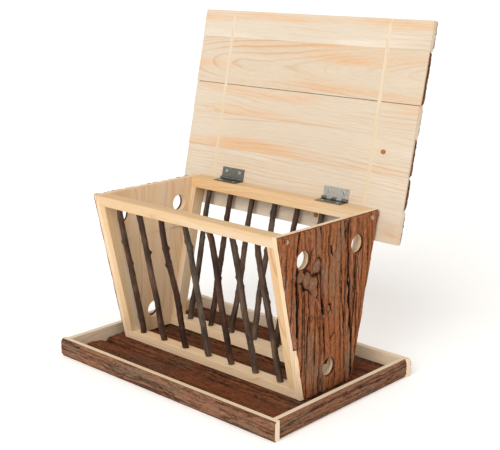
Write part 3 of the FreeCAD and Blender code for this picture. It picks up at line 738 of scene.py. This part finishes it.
def make_end_panels():
    """Three upright planks on each end, with a round window in each."""
    for side, normal in (("left", -RIGHT), ("right", RIGHT)):
        rotation = turned(UP, normal)
        marks = {"knots": LEFT_KNOTS}
        if side == "right":
            marks = {"furrows": RIGHT_FURROWS, "knots": RIGHT_KNOTS}
        for number, (place, window) in enumerate(END_PLANKS):
            name = "%s_end_plank_%s" % (side, place)
            seed = 400 + 30 * number + (100 if side == "right" else 0)
            centre = opening_middle("%s_%s_window" % (side, window))
            bare = BARE_STRETCH if side == "right" and place == "front" else None
            plank = bark_board(name, rotation, seed, BARK_PANEL, PINE_PANEL, bark_depth=4.4, crown=1.4,
                               ragged=1.0, waney=0.5, windows=(centre,), bare=bare,
                               pith=(14 - 9 * number, 38), tilt=2.0, strand=9.5, run=300, **marks)
            hand_over(plank, "rack", "bark_board", name)


# Each lid plank from the free edge: how far its ends fall short, the undercut of its right end, the place
# and angle of the middle of its log, and how weathered its bark is.
LID_PLANKS = (
    ((0.2, 0.1), 0.3, (34, 26), 1.5, 0.0), ((1.0, 0.2), 3.2, (-2, 20), 3.4, 0.45),
    ((1.9, 1.6), -0.8, (-34, 30), 1.0, 0.1), ((2.6, 0.9), 2.4, (50, 18), -1.0, 0.6),
    ((3.3, 0.2), 3.0, (-44, 22), 1.6, 0.0), ((3.5, 1.0), 0.0, (8, 34), -2.2, 0.35))
# The plank whose joint with the one above it, towards the free edge, is open.
SPLIT_PLANK = 3


def make_lid():
    """Six planks with bark on the lid's outer face."""
    rotation = turned(RIGHT, LID_BACK)
    for number, (trims, undercut, pith, tilt, weathered) in enumerate(LID_PLANKS, start=1):
        name = "lid_plank_%d" % number
        split = 0.7 if number == SPLIT_PLANK else 0.0
        low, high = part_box(name)
        middle = low.lerp(high, 0.5) / MM
        spot = Vector((60 * number - 190, middle.y, middle.z)) @ rotation
        plank = bark_board(name, rotation, 700 + 30 * number, BARK_PANEL, PINE_LID, bark_depth=3.4,
                           crown=2.2, ragged=0.8, waney=1.8, trims=trims, split=split, undercut=undercut,
                           pith=pith, tilt=tilt, eased=0.2, weathered=weathered, strand=9.0, run=300,
                           knots=((spot.x, spot.y + 5, 3.5),))
        hand_over(plank, "lid", "lid_board", name)


# ---- planed pine pieces

def ease_edges(mesh, width):
    """Rounds every edge of a bmesh by a width in mm."""
    bmesh.ops.bevel(mesh, geom=mesh.edges[:], offset=width * MM, segments=2, profile=0.5, affect="EDGES")


def bare_prism(name, section, low, high, grain, outward, material, seed, round_off=0.45):
    """Planed piece with a section in Y and Z, from one X to another, its edges eased.

    The seed says which stretch of a log it was cut from."""
    mesh = bmesh.new()
    near, far = [[mesh.verts.new((along, across, up)) for across, up in section] for along in (low, high)]
    mesh.faces.new(near[::-1])
    mesh.faces.new(far)
    for index in range(len(section)):
        mesh.faces.new((near[index - 1], near[index], far[index], far[index - 1]))
    bmesh.ops.recalc_face_normals(mesh, faces=mesh.faces)
    ease_edges(mesh, round_off)
    piece = from_bmesh(name + "_wood", mesh, (material,))
    rotation = turned(grain, outward)
    piece.data.transform(rotation.to_4x4().inverted())
    points = [vertex.co for vertex in piece.data.vertices]
    middle = [sum(point[axis] for point in points) / len(points) for axis in range(3)]
    settle(piece, rotation, (middle[1] + 9 * MM, middle[2] - 26 * MM), math.radians(1.5), 1.3 * seed)
    hand_over(piece, "rack", "pine", name)


def make_frames():
    """Two rails and two stiles in each of the two leaning frames."""
    for side, sign in (("front", -1), ("rear", 1)):
        for number, part in enumerate(("top_rail", "bottom_rail", "left_stile", "right_stile")):
            name = "%s_%s" % (side, part)
            low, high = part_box(name)
            slant = (high.z - low.z) * math.tan(LEAN) * sign
            outer = high.y if sign > 0 else low.y
            inner = low.y if sign > 0 else high.y
            section = ((outer - slant, low.z), (outer, high.z), (inner + slant, high.z), (inner, low.z))
            grain = RIGHT if "rail" in part else Vector((0, sign * math.sin(LEAN), math.cos(LEAN)))
            outward = REAR if "rail" in part else Vector((0, math.cos(LEAN), -sign * math.sin(LEAN)))
            wood = PINE_PANEL if part == "bottom_rail" else PINE_FRAME
            bare_prism(name, section, low.x, high.x, grain, outward, wood, 3 + 4 * number + sign)


# How far the splines stray from square to the lid's planks.
SPLINE_SKEW = math.radians(-1.1)


def lid_spline(name):
    """Strip let into the lid's underside, across its planks."""
    rotation = turned(RIGHT, LID_BACK)
    points = local_points(name, rotation)
    low = Vector(points.min(0))
    high = Vector(points.max(0))
    middle = (low + high) / 2
    mesh = bmesh.new()
    bmesh.ops.create_cube(mesh, size=1.0)
    bmesh.ops.scale(mesh, verts=mesh.verts, vec=high - low)
    bmesh.ops.translate(mesh, verts=mesh.verts, vec=middle - Vector((0, 0, 0.15 * MM)))
    ease_edges(mesh, 0.25)
    piece = from_bmesh(name + "_wood", mesh, (PINE_SPLINE,))
    quarter_turn = Matrix.Rotation(math.pi / 2, 4, "Z")
    turn_point = Matrix.Translation((middle.x, middle.y, 0))
    skew = turn_point @ Matrix.Rotation(SPLINE_SKEW, 4, "Z") @ turn_point.inverted()
    piece.data.transform(quarter_turn @ skew)
    along_spline = rotation @ quarter_turn.to_3x3().inverted()
    settle(piece, along_spline, (low.x, low.z - 20 * MM), 0, 2.0)
    hand_over(piece, "lid", "pine", name)


def make_keys_and_splines():
    """Thin strips let into the inner faces of the ends, and the lid's splines."""
    for side in ("left", "right"):
        name = side + "_panel_key"
        low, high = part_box(name)
        section = ((low.y, low.z), (high.y, low.z), (high.y, high.z), (low.y, high.z))
        bare_prism(name, section, low.x, high.x, REAR, UP, PINE_SPLINE, 31, 0.26)
        lid_spline("lid_spline_" + side)


# ---- twigs

# Points along and round a twig.
TWIG_RINGS = 90
TWIG_SIDES = 16


def twig_mesh(name, rotation, seed, buds, grey, shifts):
    """Crooked unpeeled twig between its two sockets; buds are (share of length, turn, height in mm).

    The shifts are how far its lower and upper ends sit off the even spacing, in mm."""
    points = local_points(name, rotation) / MM
    low = points.min(0)
    high = points.max(0)
    radius = (high[1] - low[1]) / 2
    share = np.linspace(0, 1, TWIG_RINGS + 1)[:, None]
    angle = np.linspace(0, 2 * np.pi, TWIG_SIDES, endpoint=False)[None, :]
    held = step(0, 0.1, share) * step(0, 0.1, 1 - share)
    length = high[0] - low[0]
    along = low[0] + length * share
    bend = [held * (3.0 * (noise(share * 2.6, share * 0 + axis, seed) - 0.5)
                    + 0.8 * (noise(share * 9, share * 0 + axis, seed + 1) - 0.5)) for axis in (3, 9)]
    bend[0] = bend[0] + shifts[0] * (1 - share) + shifts[1] * share
    thick = radius * (0.95 - 0.1 * share + 0.06 * (noise(share * 7, share * 0, seed + 2) - 0.5))
    bump = np.zeros((TWIG_RINGS + 1, TWIG_SIDES))
    for place, turn, height in buds:
        gap = np.angle(np.exp(1j * (angle - turn)))
        bump = bump + height * np.exp(-((share - place) * length / 2.4) ** 2 - (gap / 0.55) ** 2)
        bump = bump + 0.16 * np.exp(-((share - place) * length / 5.0) ** 2)
    rough = 0.5 * (noise(along / 3 + 0 * angle, 1.6 * angle + 0 * share, seed + 3) - 0.5)
    reach = thick + bump + rough
    across = (low[1] + high[1]) / 2 + bend[0] + reach * np.cos(angle)
    out = (low[2] + high[2]) / 2 + bend[1] + reach * np.sin(angle)
    grid = np.stack((along + 0 * angle, across, out), -1).reshape(-1, 3)
    number = np.arange(len(grid)).reshape(TWIG_RINGS + 1, TWIG_SIDES)
    onward = np.roll(number, -1, axis=1)
    faces = np.stack((number[:-1], onward[:-1], onward[1:], number[1:]), -1).reshape(-1, 4)
    faces = faces[:, ::-1].tolist()
    faces += [number[0].tolist(), number[-1][::-1].tolist()]
    smooth = [True] * (len(faces) - 2) + [False] * 2
    stored = {"relief": np.clip(bump / 2, 0, 1).ravel(), "grey": np.full(len(grid), grey)}
    piece = new_piece(name + "_stick", grid * MM, faces, (TWIG_BARK,), [0] * len(faces), smooth, stored)
    settle(piece, rotation)
    return piece


# Where buds sit on every twig, as shares of its length.
BUD_PLACES = (0.13, 0.3, 0.46, 0.6, 0.76, 0.87)
# Front twigs: their stubs and larger buds as (share from the top, turn, height in mm), and how far their
# lower and upper ends sit off the even spacing, in mm.
LEFTWARD = 0.75
RIGHTWARD = 3.9
FRONT_BUDS = {1: ((0.27, LEFTWARD, 1.6), (0.44, RIGHTWARD, 1.2)),
              2: ((0.32, RIGHTWARD, 3.0),),
              3: ((0.24, RIGHTWARD, 1.7), (0.35, LEFTWARD, 1.3)),
              4: ((0.19, RIGHTWARD, 1.2), (0.15, LEFTWARD, 0.9)),
              5: ((0.36, RIGHTWARD, 1.2),),
              6: ((0.3, LEFTWARD, 1.1),),
              7: ((0.42, RIGHTWARD, 1.3),)}
FRONT_SHIFTS = {1: (6.5, 1.0), 2: (4.5, 4.0), 3: (3.5, 3.0), 4: (1.5, 0.5), 5: (1.5, 1.0), 6: (0.5, 2.0),
                7: (0.5, 1.5)}
# Greyness of each twig's bark, from left to right.
TWIG_GREY = {"front": (0.15, 0.25, 0.0, 0.9, 0.1, 0.6, 0.35), "rear": (0.5, 0.1, 0.3, 0.6, 0.2, 0.8, 0.4)}


def make_twigs():
    """Seven twigs in each frame, each with its own bends, buds and colour."""
    for side, sign in (("front", -1), ("rear", 1)):
        for number in range(1, 8):
            name = "%s_twig_%d" % (side, number)
            seed = 50 * number + (3 if sign > 0 else 0)
            grain = Vector((0, sign * math.sin(LEAN), math.cos(LEAN)))
            outward = Vector((0, sign * math.cos(LEAN), -math.sin(LEAN)))
            chance = np.random.RandomState(seed)
            buds = [(place + 0.05 * chance.rand(), 6.28 * chance.rand(), 0.3 + 0.8 * chance.rand())
                    for place in BUD_PLACES]
            shifts = (0.0, 0.0)
            if side == "front":
                shifts = FRONT_SHIFTS[number]
                buds += [(1 - place, turn, height) for place, turn, height in FRONT_BUDS[number]]
            grey = TWIG_GREY[side][number - 1]
            twig = twig_mesh(name, turned(grain, outward), seed, buds, grey, shifts)
            hand_over(twig, "rack", "twig", name)


# ---- metal

def lathe(profile, sides):
    """Closed turned mesh from (radius, height) pairs that start and end on the axis, in metres."""
    mesh = bmesh.new()
    rings = []
    for radius, height in profile:
        if radius == 0:
            rings.append([mesh.verts.new((0, 0, height))])
            continue
        turns = [2 * math.pi * index / sides for index in range(sides)]
        spots = [(radius * math.cos(turn), radius * math.sin(turn), height) for turn in turns]
        rings.append([mesh.verts.new(spot) for spot in spots])
    for first, second in zip(rings, rings[1:]):
        for index in range(sides):
            follower = (index + 1) % sides
            corners = (first[index % len(first)], first[follower % len(first)],
                       second[follower % len(second)], second[index % len(second)])
            mesh.faces.new(list(dict.fromkeys(corners)))
    bmesh.ops.recalc_face_normals(mesh, faces=mesh.faces)
    return mesh


def screw_template(head, shank, length, dome):
    """Countersunk screw pointing down from its head at the origin, with a cross recess.

    Head and shank are its two radii."""
    cone = head - shank
    profile = ((0, dome), (head * 0.55, dome * 0.8), (head * 0.93, dome * 0.2), (head, -0.1 * MM),
               (shank, -cone), (shank, -length * 0.75), (shank * 0.2, -length), (0, -length))
    screw = from_bmesh("screw", lathe(profile, 28))
    for turn in (0, math.pi / 2):
        slit = bmesh.new()
        bmesh.ops.create_cube(slit, size=1.0)
        for vertex in slit.verts:
            x, y, z = vertex.co * head
            x = x * 1.15 * (0.45 if z < 0 else 1.0)
            vertex.co = (x, y * 0.26, z * 0.8)
        bmesh.ops.rotate(slit, verts=slit.verts, matrix=Matrix.Rotation(turn, 3, "Z"))
        cut(screw, from_bmesh("slit", slit))
    return screw


def nail_template():
    """Nail pointing down from its head, which lies at the origin."""
    profile = ((0, 0.25 * MM), (1.1 * MM, 0.2 * MM), (1.7 * MM, 0.0), (1.75 * MM, -0.5 * MM),
               (0.9 * MM, -0.6 * MM), (0.9 * MM, -20 * MM), (0, -21 * MM))
    return from_bmesh("nail", lathe(profile, 20))


def fastener_group(name, template, places, body, metal):
    """One piece that holds a copy of the template at each (point, outward direction, turn)."""
    mesh = bmesh.new()
    for point, outward, turn in places:
        copy = template.data.copy()
        tilt = outward.to_track_quat("Z", "Y").to_matrix().to_4x4()
        copy.transform(Matrix.Translation(point) @ tilt @ Matrix.Rotation(turn, 4, "Z"))
        mesh.from_mesh(copy)
        bpy.data.meshes.remove(copy)
    hand_over(from_bmesh(name + "_set", mesh, (metal,)), body, "zinc_steel", name)


def head_places(name, axis, both_sides, sunk, first_turn, turn_step):
    """Sunk head, outward direction and turn of each fastener in a CAD group that lies along an axis.

    With both sides, those on the far side of the middle point the other way."""
    places = []
    for index, (low, high) in enumerate(solids(name)):
        outward = -axis if both_sides and low.dot(axis) < 0 else axis
        reach = abs((high - low).dot(axis)) / 2 - sunk
        places.append(((low + high) / 2 + outward * reach, outward, first_turn + turn_step * index))
    return places


SHORT_SCREW = 7 * MM


def make_fasteners():
    """Hinge screws, the screws through the panels and the base, and the tray's nails."""
    small = screw_template(2.4 * MM, 1.2 * MM, 6.5 * MM, 0.25 * MM)
    large = screw_template(3.2 * MM, 1.7 * MM, 20 * MM, 0.0)
    nail = nail_template()
    places = [((low + high) / 2 - LID_BACK * SHORT_SCREW / 2, -LID_BACK, 0.5 + index)
              for index, (low, high) in enumerate(solids("hinge_screws_lid"))]
    fastener_group("hinge_screws_lid", small, places, "lid", ZINC_BRIGHT)
    groups = (("hinge_screws_rail", UP, False, 0, 0.3, 1.7, small, ZINC_BRIGHT),
              ("panel_screws", RIGHT, True, 1.2 * MM, 0.4, 1.3, large, ZINC_BRIGHT),
              ("base_screws", -UP, False, 0, 0, 0.9, large, ZINC_BRIGHT),
              ("tray_nails", REAR, True, 0.9 * MM, 0, 0, nail, ZINC_DULL_AND_SHADED))
    for name, axis, both_sides, sunk, first_turn, turn_step, template, metal in groups:
        places = head_places(name, axis, both_sides, sunk, first_turn, turn_step)
        fastener_group(name, template, places, "rack", metal)
    for template in (small, large, nail):
        bpy.data.objects.remove(template)


def dress_hinges():
    """Zinc on the CAD hinges, which show as they are; the lid leaf on the right gets the bright zinc as a painted
    highlight, the other leaves and the pins the darker zinc as painted shade.
    """
    for side in ("left", "right"):
        for part in ("hinge_lid_leaf", "hinge_rail_leaf", "hinge_pin"):
            painted_highlight = side == "right" and part == "hinge_lid_leaf"
            materials = frame["nodes"]["%s_%s" % (side, part)].data.materials
            materials.clear()
            materials.append(ZINC_BRIGHT if painted_highlight else ZINC_DULL_AND_SHADED)


# ---- stage, light and camera

CAMERA_PLACE = Vector((0.8785, -0.9181, 0.5165))
CAMERA_TURN = 42.716
CAMERA_DIP = 14.416
CAMERA_ROLL = 0.241
CAMERA_LENS = 74.73

WORLD_COLOUR = (1.0, 0.975, 0.94, 1)
WORLD_LIGHT = 0.62
# A lit table: the floor gives a little light of its own, so that shadows on it stay pale.
FLOOR_GLOW = {"Emission_Color": (1, 1, 1, 1), "Emission_Strength": 0.12}
# Each lamp: where its light comes from, its angular width in degrees, its power and its colour.
LAMPS = {"key": ((0.22, -0.72, 0.66), 42, 1.58, "FFFFFF"),
         "front": ((0.2, -0.95, 0.22), 24, 0.75, "FFFBF5"),
         "fill": ((0.9, -0.2, 0.4), 60, 0.58, "FFEBD2")}


def make_stage():
    """Plain pale floor, an even world light and the lamps."""
    bpy.ops.mesh.primitive_plane_add(size=60, location=(0, 0, cad_box[0].z - 0.05 * MM))
    floor = bpy.context.object
    floor.name = "floor"
    shader = Shader("studio_floor")
    cloud = shader.grain((3, 3, 3))
    pale = shader.blend(cloud, colour("FAFAF9"), colour("FFFFFF"))
    floor.data.materials.append(shader.finish(pale, 0.9, **FLOOR_GLOW))
    world = bpy.data.worlds.new("studio")
    scene.world = world
    world.use_nodes = True
    background = world.node_tree.nodes["Background"]
    background.inputs["Color"].default_value = WORLD_COLOUR
    background.inputs["Strength"].default_value = WORLD_LIGHT
    for name, (from_where, spread, power, text) in LAMPS.items():
        light = bpy.data.lights.new(name, "SUN")
        light.color = colour(text)[:3]
        light.energy = power
        light.angle = math.radians(spread)
        lamp = bpy.data.objects.new(name, light)
        lamp.rotation_euler = Vector(from_where).to_track_quat("Z", "Y").to_euler()
        scene.collection.objects.link(lamp)


def make_camera():
    """Camera at the photograph's angle; its turn, dip and roll are in degrees."""
    camera = bpy.data.objects.new("camera", bpy.data.cameras.new("camera"))
    scene.collection.objects.link(camera)
    turn = Matrix.Rotation(math.radians(CAMERA_TURN), 4, "Z")
    dip = Matrix.Rotation(math.radians(90 - CAMERA_DIP), 4, "X")
    roll = Matrix.Rotation(math.radians(CAMERA_ROLL), 4, "Z")
    camera.matrix_world = Matrix.Translation(CAMERA_PLACE) @ turn @ dip @ roll
    camera.data.lens = CAMERA_LENS
    camera.data.sensor_width = 36
    camera.data.clip_start = 0.05
    scene.camera = camera


make_camera()
make_stage()
make_tray()
make_end_panels()
make_frames()
make_twigs()
make_lid()
make_keys_and_splines()
make_fasteners()
dress_hinges()
scene.view_settings.view_transform = "Standard"
